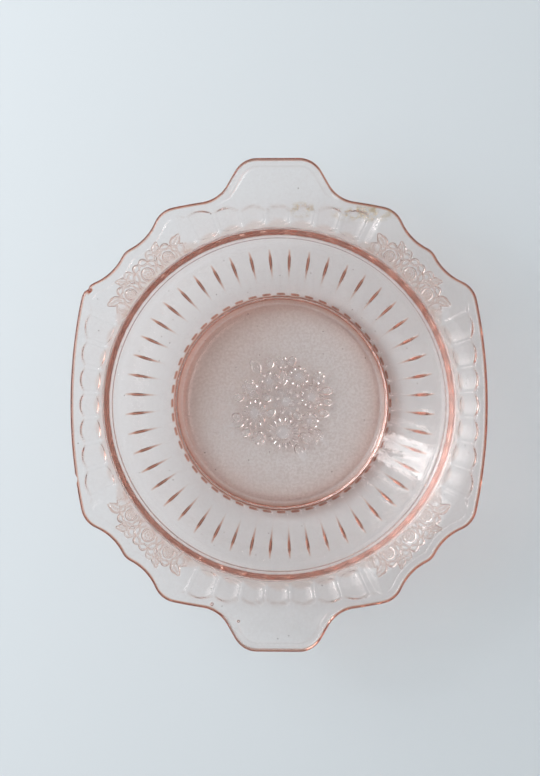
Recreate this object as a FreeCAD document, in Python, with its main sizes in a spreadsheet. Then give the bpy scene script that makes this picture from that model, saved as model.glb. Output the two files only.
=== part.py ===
import FreeCAD, Part

# A two-handled candy dish of pressed pink glass, moulded in one piece.
# The dish stands on a round foot ring. Its wall slopes up in 48 flutes to a short upright step, and from the
# step a flange flares out to a squarish wavy rim with a tab handle at each end. The inside is smooth: all the
# pattern is on the outside.
# Frame: origin at the centre of the foot on the table, +Z up, the two handles along +Y and -Y. Millimetres.

import math
import os

import Sketcher

Vector = FreeCAD.Vector
Rotation = FreeCAD.Rotation
Placement = FreeCAD.Placement

SIZES = {
    # overall
    "half_width": 89.0,  # centre to the middle of a plain side
    "half_length": 105.0,  # centre to the tip of a handle
    "overall_height": 45.0,
    "blank_radius": 120.0,  # the flange is turned this wide, then trimmed to the rim outline
    # inside, which the plunger shapes
    "floor_radius": 45.5,
    "floor_top": 4.6,
    "floor_round": 6.0,
    "shoulder_round": 2.0,
    "foot_round": 0.8,
    "shoulder_radius": 70.6,
    "shoulder_top": 30.2,
    "step_draft": 1.0,
    "step_top": 37.2,
    "knee_radius": 84.0,
    "knee_top": 42.4,
    # glass thickness
    "wall_thick": 3.6,
    "flange_thick": 3.2,
    # foot ring and the outside of the step
    "foot_inner": 44.0,
    "foot_outer": 48.8,
    "foot_recess": 1.4,
    "foot_top": 4.2,
    "flute_foot_top": 5.4,
    "step_outer": 75.4,
    # rim outline, one quarter of it: the other quarters are mirror images
    "side_bow": 215.0,
    "corner_reach": 73.6,
    "corner_round": 10.9,
    "dip_round": 24.0,
    "bump_round": 8.0,
    "bump_reach": 92.35,
    "neck_round": 9.0,
    "flank_angle": 60.0,
    "tip_round": 8.0,
    "tip_half_width": 10.6,
    "lip_round": 1.2,
    # finger recess under each handle, sunk square to the slope of the handle
    "recess_near": 88.0,
    "recess_far": 100.6,
    "recess_near_half": 19.0,
    "recess_far_half": 12.5,
    "recess_depth": 0.8,
    "recess_round": 3.0,
    # grooves between the flutes of the wall, each a slim spindle lying along the wall
    "flute_count": 48.0,
    "flute_radius": 1.6,
    "flute_low": 51.6,
    "flute_high": 68.6,
    "flute_lift": 0.5,
    # grooves between the lobes of the flange, in four fans
    "lobe_count": 8.0,
    "lobe_radius": 1.4,
    "lobe_low": 77.2,
    "lobe_high": 86.6,
    "lobe_lift": 0.5,
    "fan_count": 4.0,
}

SHEET = "Sizes"
START, END, CENTRE = 1, 2, 3
ORIGIN, X_AXIS, Y_AXIS = -1, -1, -2
FULL_TURN = 360.0
CLOSE = 0.001


def new_document():
    doc = FreeCAD.newDocument("candy_dish")
    sheet = doc.addObject("Spreadsheet::Sheet", SHEET)
    for row, (name, value) in enumerate(SIZES.items(), start=1):
        sheet.set(f"A{row}", name)
        sheet.set(f"B{row}", str(value))
        sheet.setAlias(f"B{row}", name)
    doc.recompute()
    return doc, sheet


def origin_part(body, role):
    return next(part for part in body.Origin.OriginFeatures if part.Role == role)


def new_sketch(body, name, role):
    sketch = body.newObject("Sketcher::SketchObject", name)
    sketch.AttachmentSupport = (origin_part(body, role), [""])
    sketch.MapMode = "FlatFace"
    return sketch


def bind(sketch, name, constraint, expression):
    """Adds a named dimension to a sketch and ties it to the sheet."""
    index = sketch.addConstraint(constraint)
    sketch.renameConstraint(index, name)
    sketch.setExpression(f"Constraints.{name}", expression)


def bind_place(sketch, name, geometry, end, x=None, y=None):
    """Ties one end (or the centre) of a line or arc to the sheet. A coordinate of 0 puts it on that axis."""
    spot = sketch.getPoint(geometry, end)
    if x == 0:
        sketch.addConstraint(Sketcher.Constraint("PointOnObject", geometry, end, Y_AXIS))
    elif x is not None:
        bind(sketch, f"{name}_x", Sketcher.Constraint("DistanceX", ORIGIN, START, geometry, end, spot.x), x)
    if y == 0:
        sketch.addConstraint(Sketcher.Constraint("PointOnObject", geometry, end, X_AXIS))
    elif y is not None:
        bind(sketch, f"{name}_y", Sketcher.Constraint("DistanceY", ORIGIN, START, geometry, end, spot.y), y)


def chain_of_lines(sketch, corners):
    """Draws a closed chain of lines through named corners; returns the line that starts at each corner."""
    names = list(corners)
    points = [Vector(x, y, 0) for x, y in corners.values()]
    lines = {}
    for i, name in enumerate(names):
        lines[name] = sketch.addGeometry(Part.LineSegment(points[i], points[(i + 1) % len(names)]), False)
    for i, name in enumerate(names):
        following = lines[names[(i + 1) % len(names)]]
        sketch.addConstraint(Sketcher.Constraint("Coincident", lines[name], END, following, START))
    return lines


def bowl_profile(body, s):
    """Half of the dish's section: outwards along the inside, and back along the outside."""
    sketch = new_sketch(body, "bowl_profile", "XZ_Plane")
    handle_slope = (s.overall_height - s.knee_top) / (s.half_length - s.knee_radius)
    blank_top = s.overall_height + (s.blank_radius - s.half_length) * handle_slope
    corners = {
        "floor_middle": (0, s.floor_top),
        "floor_edge": (s.floor_radius, s.floor_top),
        "shoulder": (s.shoulder_radius, s.shoulder_top),
        "step": (s.shoulder_radius + s.step_draft, s.step_top),
        "knee": (s.knee_radius, s.knee_top),
        "blank_top": (s.blank_radius, blank_top),
        "blank_under": (s.blank_radius, blank_top - s.flange_thick),
        "knee_under": (s.knee_radius + 1, s.knee_top - s.flange_thick),
        "step_under": (s.step_outer + 1, s.step_top - 2),
        "step_foot": (s.step_outer, s.shoulder_top),
        "flute_foot": (s.foot_outer + 2, s.flute_foot_top),
        "foot_root": (s.foot_outer, s.foot_top),
        "foot_outside": (s.foot_outer, 0),
        "foot_inside": (s.foot_inner, 0),
        "recess_edge": (s.foot_inner, s.foot_recess),
        "recess_middle": (0, s.foot_recess),
    }
    lines = chain_of_lines(sketch, corners)
    slope = "(Sizes.overall_height - Sizes.knee_top) / (Sizes.half_length - Sizes.knee_radius)"
    blank = f"Sizes.overall_height + (Sizes.blank_radius - Sizes.half_length) * {slope}"
    places = {
        "floor_middle": (0, "Sizes.floor_top"),
        "floor_edge": ("Sizes.floor_radius", "Sizes.floor_top"),
        "shoulder": ("Sizes.shoulder_radius", "Sizes.shoulder_top"),
        "step": ("Sizes.shoulder_radius + Sizes.step_draft", "Sizes.step_top"),
        "knee": ("Sizes.knee_radius", "Sizes.knee_top"),
        "blank_top": ("Sizes.blank_radius", blank),
        "step_foot": ("Sizes.step_outer", None),
        "flute_foot": (None, "Sizes.flute_foot_top"),
        "foot_root": ("Sizes.foot_outer", "Sizes.foot_top"),
        "foot_outside": ("Sizes.foot_outer", 0),
        "foot_inside": ("Sizes.foot_inner", 0),
        "recess_edge": ("Sizes.foot_inner", "Sizes.foot_recess"),
        "recess_middle": (0, "Sizes.foot_recess"),
    }
    for name, (x, y) in places.items():
        bind_place(sketch, name, lines[name], START, x, y)
    # The outside runs parallel to the inside, one glass thickness away.
    for inside, outside, thick in (
        ("floor_edge", "step_foot", "wall_thick"),
        ("step", "knee_under", "flange_thick"),
        ("knee", "blank_under", "flange_thick"),
    ):
        sketch.addConstraint(Sketcher.Constraint("Parallel", lines[inside], lines[outside]))
        gap = Sketcher.Constraint("Distance", lines[inside], END, lines[outside], getattr(s, thick))
        bind(sketch, f"{outside}_gap", gap, f"Sizes.{thick}")
    sketch.addConstraint(Sketcher.Constraint("Vertical", lines["blank_top"]))
    sketch.addConstraint(Sketcher.Constraint("Parallel", lines["shoulder"], lines["step_under"]))
    return sketch


def turned_bowl(body, s):
    sketch = bowl_profile(body, s)
    bowl = body.newObject("PartDesign::Revolution", "turned_bowl")
    bowl.Profile = (sketch, [""])
    bowl.ReferenceAxis = (sketch, ["V_Axis"])
    bowl.Angle = FULL_TURN
    sketch.Visibility = False
    return bowl


def meeting(centre_a, reach_a, centre_b, reach_b):
    """The point at the two given distances from two centres, on the side away from the dish's middle."""
    between = centre_b - centre_a
    span = between.Length
    along = (reach_a**2 - reach_b**2 + span**2) / (2 * span)
    aside = math.sqrt(max(reach_a**2 - along**2, 0.0))
    unit = between / span
    normal = Vector(-unit.y, unit.x, 0)
    both = [centre_a + unit * along + normal * side * aside for side in (1, -1)]
    return max(both, key=lambda point: point.Length)


def arc_between(centre, radius, first, last):
    """An arc from one direction to another, counter-clockwise, aimed at the points given."""
    turn = [math.atan2(p.y - centre.y, p.x - centre.x) for p in (first, last)]
    return Part.ArcOfCircle(Part.Circle(centre, Vector(0, 0, 1), radius), *turn)


def rim_waste(body, s):
    """What is trimmed off one quarter of the blank: the rim outline inside, a square corner outside."""
    sketch = new_sketch(body, "rim_quarter", "XY_Plane")
    far = s.blank_radius + 5

    def swap(spot):
        """The same place on the other side of the diagonal."""
        return Vector(spot.y, spot.x, 0)

    side = Vector(s.half_width - s.side_bow, 0, 0)
    reach = s.side_bow - s.corner_round
    corner = Vector(s.corner_reach, math.sqrt(reach**2 - (s.corner_reach - side.x) ** 2), 0)
    diagonal = (s.bump_reach - s.bump_round) / math.sqrt(2)
    bump = Vector(diagonal, diagonal, 0)
    dip = meeting(corner, s.corner_round + s.dip_round, bump, s.bump_round + s.dip_round)
    # where neighbouring arcs touch
    side_to_corner = side + (corner - side).normalize() * s.side_bow
    corner_to_dip = corner + (dip - corner).normalize() * s.corner_round
    dip_to_bump = bump + (dip - bump).normalize() * s.bump_round
    # the handle: the tip is flat, the flanks lean in, and a neck blends them into the far side
    lean = math.radians(s.flank_angle)
    flank_out = Vector(math.sin(lean), math.cos(lean), 0)
    flank_run = Vector(-math.cos(lean), math.sin(lean), 0)
    tip_centre = Vector(s.tip_half_width, s.half_length - s.tip_round, 0)
    flank_end = tip_centre + flank_out * s.tip_round
    # The neck's centre lies one neck radius off the flank and off the far side's arc, outside both.
    base = flank_end + flank_out * s.neck_round
    offset = base - swap(side)
    reach = s.side_bow + s.neck_round
    half = offset.dot(flank_run)
    run = -half + math.sqrt(half**2 - offset.dot(offset) + reach**2)
    neck = base + flank_run * run
    flank_start = neck - flank_out * s.neck_round
    far_to_neck = swap(side) + (neck - swap(side)).normalize() * s.side_bow
    arcs = {
        "side": arc_between(side, s.side_bow, Vector(s.half_width, 0, 0), side_to_corner),
        "corner": arc_between(corner, s.corner_round, side_to_corner, corner_to_dip),
        "dip": arc_between(dip, s.dip_round, dip_to_bump, corner_to_dip),
        "bump": arc_between(bump, s.bump_round, dip_to_bump, swap(dip_to_bump)),
        "far_dip": arc_between(swap(dip), s.dip_round, swap(corner_to_dip), swap(dip_to_bump)),
        "far_corner": arc_between(swap(corner), s.corner_round, swap(corner_to_dip), swap(side_to_corner)),
        "far_side": arc_between(swap(side), s.side_bow, swap(side_to_corner), far_to_neck),
        "neck": arc_between(neck, s.neck_round, flank_start, far_to_neck),
    }
    tip_corner = arc_between(tip_centre, s.tip_round, flank_end, Vector(s.tip_half_width, s.half_length, 0))
    ids = {name: sketch.addGeometry(arc, False) for name, arc in arcs.items()}
    ids["flank"] = sketch.addGeometry(Part.LineSegment(flank_start, flank_end), False)
    ids["tip_corner"] = sketch.addGeometry(tip_corner, False)
    outside = [
        Vector(s.tip_half_width, s.half_length, 0),
        Vector(0, s.half_length, 0),
        Vector(0, far, 0),
        Vector(far, far, 0),
        Vector(far, 0, 0),
        Vector(s.half_width, 0, 0),
    ]
    for i, name in enumerate(("tip", "axis_end", "far_edge", "side_edge", "side_end")):
        ids[name] = sketch.addGeometry(Part.LineSegment(outside[i], outside[i + 1]), False)
    # Each pair touches smoothly. Concave arcs (dips and neck) run the other way round.
    touches = (
        ("side", END, "corner", START),
        ("corner", END, "dip", END),
        ("dip", START, "bump", START),
        ("bump", END, "far_dip", END),
        ("far_dip", START, "far_corner", START),
        ("far_corner", END, "far_side", START),
        ("far_side", END, "neck", END),
        ("neck", START, "flank", START),
        ("flank", END, "tip_corner", START),
        ("tip_corner", END, "tip", START),
    )
    for first, first_end, second, second_end in touches:
        sketch.addConstraint(Sketcher.Constraint("Tangent", ids[first], first_end, ids[second], second_end))
    plain = (
        ("tip", "axis_end"),
        ("axis_end", "far_edge"),
        ("far_edge", "side_edge"),
        ("side_edge", "side_end"),
    )
    for first, second in plain:
        sketch.addConstraint(Sketcher.Constraint("Coincident", ids[first], END, ids[second], START))
    sketch.addConstraint(Sketcher.Constraint("Coincident", ids["side_end"], END, ids["side"], START))
    for name, kind in (("tip", "Horizontal"), ("far_edge", "Horizontal"), ("side_edge", "Vertical")):
        sketch.addConstraint(Sketcher.Constraint(kind, ids[name]))
    radii = {
        "side": "side_bow",
        "corner": "corner_round",
        "dip": "dip_round",
        "bump": "bump_round",
        "neck": "neck_round",
        "tip_corner": "tip_round",
    }
    for name, size in radii.items():
        radius = Sketcher.Constraint("Radius", ids[name], getattr(s, size))
        bind(sketch, f"{name}_radius", radius, f"Sizes.{size}")
    for name in ("side", "corner", "dip"):
        sketch.addConstraint(Sketcher.Constraint("Equal", ids[name], ids[f"far_{name}"]))
    bind_place(sketch, "side_middle", ids["side"], START, "Sizes.half_width", 0)
    bind_place(sketch, "side_centre", ids["side"], CENTRE, None, 0)
    bind_place(sketch, "far_centre", ids["far_side"], CENTRE, 0, "Sizes.half_width - Sizes.side_bow")
    bind_place(sketch, "corner_centre", ids["corner"], CENTRE, "Sizes.corner_reach", None)
    bind_place(sketch, "far_corner_centre", ids["far_corner"], CENTRE, None, "Sizes.corner_reach")
    bump_place = "(Sizes.bump_reach - Sizes.bump_round) / sqrt(2)"
    bind_place(sketch, "bump_centre", ids["bump"], CENTRE, bump_place, bump_place)
    bind_place(sketch, "tip_start", ids["tip"], START, "Sizes.tip_half_width", "Sizes.half_length")
    bind_place(sketch, "tip_end", ids["tip"], END, 0, None)
    bind_place(sketch, "waste_far", ids["far_edge"], START, 0, "Sizes.blank_radius + 5")
    bind_place(sketch, "waste_side", ids["side_edge"], END, "Sizes.blank_radius + 5", 0)
    flank_place = "Sizes.half_length - Sizes.tip_round + Sizes.tip_round * cos(Sizes.flank_angle * 1 deg)"
    bind_place(sketch, "flank_end", ids["flank"], END, None, flank_place)
    return sketch


def both_ways(pocket):
    """Makes a pocket go right through the part on both sides of its sketch."""
    pocket.Type = "ThroughAll"
    pocket.Midplane = True


def mirrored_twice(body, name, features):
    """Repeats the features in the other three quarters."""
    turns = body.newObject("PartDesign::MultiTransform", name)
    turns.Originals = features
    turns.Shape = features[-1].Shape
    mirrors = []
    for role in ("XZ_Plane", "YZ_Plane"):
        mirror = body.newObject("PartDesign::Mirrored", f"{name}_{role[:2].lower()}")
        mirror.MirrorPlane = (origin_part(body, role), [""])
        mirrors.append(mirror)
    turns.Transformations = mirrors
    return turns


def trimmed_rim(body, s):
    sketch = rim_waste(body, s)
    trim = body.newObject("PartDesign::Pocket", "rim_trim")
    trim.Profile = (sketch, [""])
    both_ways(trim)
    sketch.Visibility = False
    body.Document.recompute()
    return mirrored_twice(body, "rim", [trim])


def finger_recesses(body, s):
    """Sinks a round-cornered recess into the underside of each handle, parallel to the handle's slope."""
    sketch = new_sketch(body, "recess", "XY_Plane")
    near, far = Vector(0, s.recess_near, 0), Vector(0, s.recess_far, 0)
    corners = {
        "near_left": near - Vector(s.recess_near_half, 0, 0),
        "near_right": near + Vector(s.recess_near_half, 0, 0),
        "far_right": far + Vector(s.recess_far_half, 0, 0),
        "far_left": far - Vector(s.recess_far_half, 0, 0),
    }
    lines = chain_of_lines(sketch, {name: (spot.x, spot.y) for name, spot in corners.items()})
    for side in ("near", "far"):
        mirror = (lines[f"{side}_left"], START, lines[f"{side}_right"], START, Y_AXIS)
        sketch.addConstraint(Sketcher.Constraint("Symmetric", *mirror))
        half = f"Sizes.recess_{side}_half"
        bind_place(sketch, f"{side}_corner", lines[f"{side}_right"], START, half, f"Sizes.recess_{side}")
    # The sketch lies against the sloping underside: it turns about the X axis and drops to meet it.
    slope = "(Sizes.overall_height - Sizes.knee_top) / (Sizes.half_length - Sizes.knee_radius)"
    tilt = f"atan({slope})"
    drop = f"Sizes.knee_top - Sizes.knee_radius * {slope} - Sizes.flange_thick / cos({tilt})"
    sketch.AttachmentOffset = Placement(Vector(), Rotation(Vector(1, 0, 0), 1))
    sketch.setExpression("AttachmentOffset.Rotation.Angle", tilt)
    sketch.setExpression("AttachmentOffset.Base.z", drop)
    recess = body.newObject("PartDesign::Pocket", "recess_cut")
    recess.Profile = (sketch, [""])
    recess.Reversed = True
    recess.setExpression("Length", "Sizes.recess_depth")
    sketch.Visibility = False
    body.Document.recompute()
    pair = body.newObject("PartDesign::Mirrored", "recesses")
    pair.Originals = [recess]
    pair.MirrorPlane = (origin_part(body, "XZ_Plane"), [""])
    return pair


def spindle_groove(body, s, name, low, high, line, turn):
    """Cuts one slim groove, widest at its middle, along a sloping straight part of the outside.

    The line is given by a point of the inside surface, its slope, and the glass thickness there.
    """
    point_radius, point_top, slope, thick = line
    sketch = new_sketch(body, f"{name}_sketch", "XZ_Plane")
    reach = f"({thick} + Sizes.{name}_lift) / cos(atan({slope}))"
    heights = []
    for end in ("low", "high"):
        heights.append(f"{point_top} + (Sizes.{name}_{end} - {point_radius}) * ({slope}) - {reach}")
    run = Vector(high - low, high - low, 0)
    ends = [Vector(low, 0, 0), Vector(low, 0, 0) + run]
    bulge = getattr(s, f"{name}_radius")
    middle = (ends[0] + ends[1]) / 2 + Vector(-1, 1, 0).normalize() * bulge
    arc = sketch.addGeometry(Part.Arc(ends[0], middle, ends[1]), False)
    chord = sketch.addGeometry(Part.LineSegment(ends[0], ends[1]), False)
    axis = sketch.addGeometry(Part.LineSegment(ends[0], ends[1]), True)
    starts = (START, END) if sketch.getPoint(arc, START).distanceToPoint(ends[0]) < 1 else (END, START)
    for i, place in enumerate((START, END)):
        sketch.addConstraint(Sketcher.Constraint("Coincident", arc, starts[i], chord, place))
        sketch.addConstraint(Sketcher.Constraint("Coincident", axis, place, chord, place))
        radius = f"Sizes.{name}_{('low', 'high')[i]}"
        bind_place(sketch, f"end_{i}", chord, place, radius, heights[i])
    # The arc's radius follows from its chord and its rise.
    half = f"((Sizes.{name}_high - Sizes.{name}_low) / cos(atan({slope})) / 2)"
    rise = f"Sizes.{name}_radius"
    radius = f"({half} * {half} + {rise} * {rise}) / (2 * {rise})"
    body.Document.recompute()
    bind(sketch, "bulge", Sketcher.Constraint("Radius", arc, sketch.Geometry[arc].Radius), radius)
    sketch.AttachmentOffset = Placement(Vector(), Rotation(Vector(0, 1, 0), 1))
    sketch.setExpression("AttachmentOffset.Rotation.Angle", turn)
    groove = body.newObject("PartDesign::Groove", name)
    groove.Profile = (sketch, [""])
    groove.ReferenceAxis = (sketch, ["Axis0"])
    groove.Angle = FULL_TURN
    sketch.Visibility = False
    return groove


def polar(body, name, angle, count):
    pattern = body.newObject("PartDesign::PolarPattern", name)
    pattern.Axis = (origin_part(body, "Z_Axis"), [""])
    pattern.setExpression("Angle", angle)
    pattern.setExpression("Occurrences", count)
    return pattern


def flutes(body, s):
    slope = "(Sizes.shoulder_top - Sizes.floor_top) / (Sizes.shoulder_radius - Sizes.floor_radius)"
    line = ("Sizes.floor_radius", "Sizes.floor_top", slope, "Sizes.wall_thick")
    groove = spindle_groove(body, s, "flute", s.flute_low, s.flute_high, line, "180 / Sizes.flute_count")
    body.Document.recompute()
    ring = polar(body, "flutes", "360", "Sizes.flute_count")
    ring.Originals = [groove]
    return ring


def lobes(body, s):
    run = "Sizes.knee_radius - Sizes.shoulder_radius - Sizes.step_draft"
    slope = f"(Sizes.knee_top - Sizes.step_top) / ({run})"
    line = ("Sizes.knee_radius", "Sizes.knee_top", slope, "Sizes.flange_thick")
    turn = "(1 - Sizes.lobe_count) * 180 / Sizes.flute_count"
    groove = spindle_groove(body, s, "lobe", s.lobe_low, s.lobe_high, line, turn)
    body.Document.recompute()
    fans = body.newObject("PartDesign::MultiTransform", "lobes")
    fans.Originals = [groove]
    fans.Shape = groove.Shape
    fan = polar(body, "lobe_fan", "(Sizes.lobe_count - 1) * 360 / Sizes.flute_count", "Sizes.lobe_count")
    round_four = polar(body, "lobe_fans", "360", "Sizes.fan_count")
    fans.Transformations = [fan, round_four]
    return fans


def circle_edges(shape, *places):
    """Names of the round edges at the given pairs of radius and height."""
    found = []
    for number, edge in enumerate(shape.Edges, start=1):
        if not isinstance(edge.Curve, Part.Circle):
            continue
        for radius, height in places:
            same_radius = abs(edge.Curve.Radius - radius) < CLOSE
            if same_radius and abs(edge.Curve.Center.z - height) < CLOSE:
                found.append(f"Edge{number}")
    return found


def upright_faces(shape, above):
    """Names of the upright faces higher than a given height: the cut edge of the rim."""
    found = []
    for number, face in enumerate(shape.Faces, start=1):
        first_u, last_u, first_v, last_v = face.ParameterRange
        normal = face.normalAt((first_u + last_u) / 2, (first_v + last_v) / 2)
        if abs(normal.z) < CLOSE and face.CenterOfMass.z > above:
            found.append(f"Face{number}")
    return found


def softened(body, name, base, edges, radius):
    """Rounds the given edges or faces of the last feature."""
    fillet = body.newObject("PartDesign::Fillet", name)
    fillet.Base = (base, edges)
    fillet.setExpression("Radius", radius)
    body.Document.recompute()
    return fillet


def must_cut(before, after):
    """A cut that points away from the glass would change nothing."""
    if after.Shape.Volume >= before.Shape.Volume - 1:
        raise RuntimeError(f"{after.Name} cut nothing")


def check(doc):
    for item in doc.Objects:
        if "Invalid" in item.State or "Error" in item.State:
            raise RuntimeError(f"{item.Name} did not compute: {item.State}")


def write(body):
    if body.Shape.isNull() or not body.Shape.isValid() or len(body.Shape.Solids) != 1:
        raise RuntimeError(f"{body.Label} is not one good solid")
    body.Shape.exportStep(f"parts/{body.Label}.step")


def dish(doc, s):
    body = doc.addObject("PartDesign::Body", "dish")
    body.Label = "dish"
    bowl = turned_bowl(body, s)
    doc.recompute()
    floor = circle_edges(bowl.Shape, (s.floor_radius, s.floor_top))
    floor_round = softened(body, "floor_corner", bowl, floor, "Sizes.floor_round")
    shoulder = circle_edges(floor_round.Shape, (s.shoulder_radius, s.shoulder_top))
    shoulder_round = softened(body, "shoulder_corner", floor_round, shoulder, "Sizes.shoulder_round")
    foot = circle_edges(shoulder_round.Shape, (s.foot_outer, 0), (s.foot_inner, 0))
    foot_round = softened(body, "foot_edges", shoulder_round, foot, "Sizes.foot_round")
    rim = trimmed_rim(body, s)
    body.Tip = rim
    doc.recompute()
    must_cut(foot_round, rim)
    lip = softened(body, "lip", rim, upright_faces(rim.Shape, s.step_top), "Sizes.lip_round")
    before = lip
    for make in (finger_recesses, flutes, lobes):
        pattern = make(body, s)
        body.Tip = pattern
        doc.recompute()
        must_cut(before, pattern)
        before = pattern
    body.Placement = Placement()
    doc.recompute()
    return body


def main():
    doc, s = new_document()
    body = dish(doc, s)
    check(doc)
    os.makedirs("parts", exist_ok=True)
    write(body)


main()
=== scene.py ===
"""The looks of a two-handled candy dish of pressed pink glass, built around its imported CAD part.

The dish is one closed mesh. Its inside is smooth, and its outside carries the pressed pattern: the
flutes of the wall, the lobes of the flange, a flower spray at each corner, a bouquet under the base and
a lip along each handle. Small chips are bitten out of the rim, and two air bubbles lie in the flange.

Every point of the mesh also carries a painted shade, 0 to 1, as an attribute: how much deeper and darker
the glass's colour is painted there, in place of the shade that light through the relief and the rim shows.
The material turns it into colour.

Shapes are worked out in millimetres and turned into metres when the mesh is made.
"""

import math

import bmesh
import bpy
import numpy as np
from mathutils import Matrix, Vector


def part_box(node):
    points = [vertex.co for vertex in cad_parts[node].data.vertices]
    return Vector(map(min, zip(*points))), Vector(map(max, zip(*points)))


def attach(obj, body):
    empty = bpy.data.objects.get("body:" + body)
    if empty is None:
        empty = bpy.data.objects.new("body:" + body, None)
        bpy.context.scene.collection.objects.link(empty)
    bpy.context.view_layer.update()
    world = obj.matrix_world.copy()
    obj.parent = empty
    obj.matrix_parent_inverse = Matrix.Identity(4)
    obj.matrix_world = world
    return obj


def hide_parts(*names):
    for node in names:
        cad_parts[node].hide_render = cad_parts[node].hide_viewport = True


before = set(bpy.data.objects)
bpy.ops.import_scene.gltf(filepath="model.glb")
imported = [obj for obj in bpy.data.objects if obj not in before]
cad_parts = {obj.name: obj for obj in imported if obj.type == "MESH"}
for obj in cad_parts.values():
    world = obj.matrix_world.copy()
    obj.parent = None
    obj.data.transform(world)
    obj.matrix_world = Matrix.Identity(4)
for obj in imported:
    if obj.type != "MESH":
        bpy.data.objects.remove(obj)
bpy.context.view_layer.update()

MM = 0.001
TURN = 2 * math.pi

# ------------------------------------------------------------------------------ sizes, millimetres

high_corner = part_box("dish")[1]
HALF_WIDTH = high_corner[0] / MM
HALF_LENGTH = high_corner[1] / MM

# rim outline, one quarter
SIDE_BOW = 215.0
CORNER_REACH = 73.6
CORNER_ROUND = 10.9
DIP_ROUND = 24.0
BUMP_ROUND = 8.0
BUMP_REACH = 92.35
NECK_ROUND = 15.0
FLANK_LEAN = math.radians(60)
TIP_ROUND = 11.0
TIP_HALF_WIDTH = 8.87

# inside: points of the section are (radius, height)
FLOOR_TOP = 4.6
FLOOR_RADIUS = 45.5
SHOULDER = (70.6, 30.2)
KNEE = (84.0, 42.4)
FLANGE_SLOPES = (0.419, 0.124)
KNEE_SOFTNESS = 3.0
FLANGE_THICK = 3.2
FLOOR_ROUND = 6.0

# outside
RECESS_TOP = 1.4
WALL_THICK = 3.6
LIP_ROUND = 1.6
FLANGE_START = 77.9

# the foot ring doesn't touch the table all over: this is the gap under it
FLOOR_GAP = 0.4

# pressed pattern
FLUTES = 48
PITCH = TURN / FLUTES
PITCH_DEGREES = 360 / FLUTES
GROOVE_DEPTH = 1.0
GROOVE_HALF_WIDTH = 0.72
GROOVE_ENDS = (51.4, 67.0)
CROWN_BOW = 0.35
CROWN_HALF_WIDTH = 3.9
FLUTE_RISE = 0.6
FLUTE_END = 49.5
LOBE_START = 77.2
MARGIN = 3.0
BOUQUET_RADIUS = 25.0
BOUQUET_RELIEF = 0.83
LOBE_RELIEF = 1.5
SPRAY_RELIEF = 0.7
HANDLE_LIP_RELIEF = 0.8
EDGE_BEAD_RELIEF = 0.2
STEP_LINE_RELIEF = 0.3
LINE = 0.3
LINE_SLOPES = (0.45, 1.5)

# each fan of lobes dies away between these angles from the middle of its side
FAN_EDGE = (math.radians(26.3), math.radians(29.5))

# each spray reaches this far to either side of its corner
SPRAY_EDGE = math.radians(15.5)

# painted shade, deepening the glass's colour where light through the relief makes it look darker: 0 is the
# bare glass and 1 its deepest red-brown
BASE_LINE_DEPTH = 0.05
SPRAY_LINE_DEPTH = 0.36
LOBE_LINE_DEPTH = 0.06
# painted shade on the base: the ground between the flowers is darker so that the flowers look lit, and it
# darkens towards the foot and to one side
BASE_DEPTH = 0.03
BOUQUET_GROUND_DEPTH = 0.015
BASE_EDGE_DEPTH = 0.06
SHADED_SIDE_DEPTH = 0.07
SHADED_SIDE = math.radians(140)
RECESS_EDGE = (44.2, 44.9)
FOOT_SIDE = (47.3, 48.7)
RIM_DEPTH = 1.0
ROOT_DEPTH = 0.12
CORNER_DEPTH = 0.11

# chips along the rim: x, y, half length, depth
CHIPS = [(-81.2, 49.4, 1.5, 0.8), (-87.6, -31.8, 1.9, 0.9), (-87.0, -34.4, 0.9, 0.4)]

# air bubbles in the flange: x, y, radius
BUBBLES = [(-28.3, -85.1, 0.75), (-16.9, -92.3, 0.65)]


# ------------------------------------------------------------------------------------- rim outline


def outer_meeting(centre_a, reach_a, centre_b, reach_b):
    """The point at two given distances from two centres, on the side away from the dish's middle."""
    between = centre_b - centre_a
    span = np.hypot(*between)
    along = (reach_a**2 - reach_b**2 + span**2) / (2 * span)
    aside = math.sqrt(reach_a**2 - along**2)
    unit = between / span
    normal = np.array([-unit[1], unit[0]])
    both = [centre_a + unit * along + normal * side * aside for side in (1, -1)]
    return max(both, key=lambda point: np.hypot(*point))


def toward(centre, target, radius):
    """The point of a circle that lies in the direction of a target."""
    step = target - centre
    return centre + step / np.hypot(*step) * radius


def arc(centre, start, end, count=24):
    """Points along the shorter arc from start to end."""
    first = math.atan2(*(start - centre)[::-1])
    last = math.atan2(*(end - centre)[::-1])
    sweep = (last - first + math.pi) % TURN - math.pi
    angles = first + sweep * np.linspace(0, 1, count)
    radius = np.hypot(*(start - centre))
    return centre + radius * np.stack([np.cos(angles), np.sin(angles)], axis=1)


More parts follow.
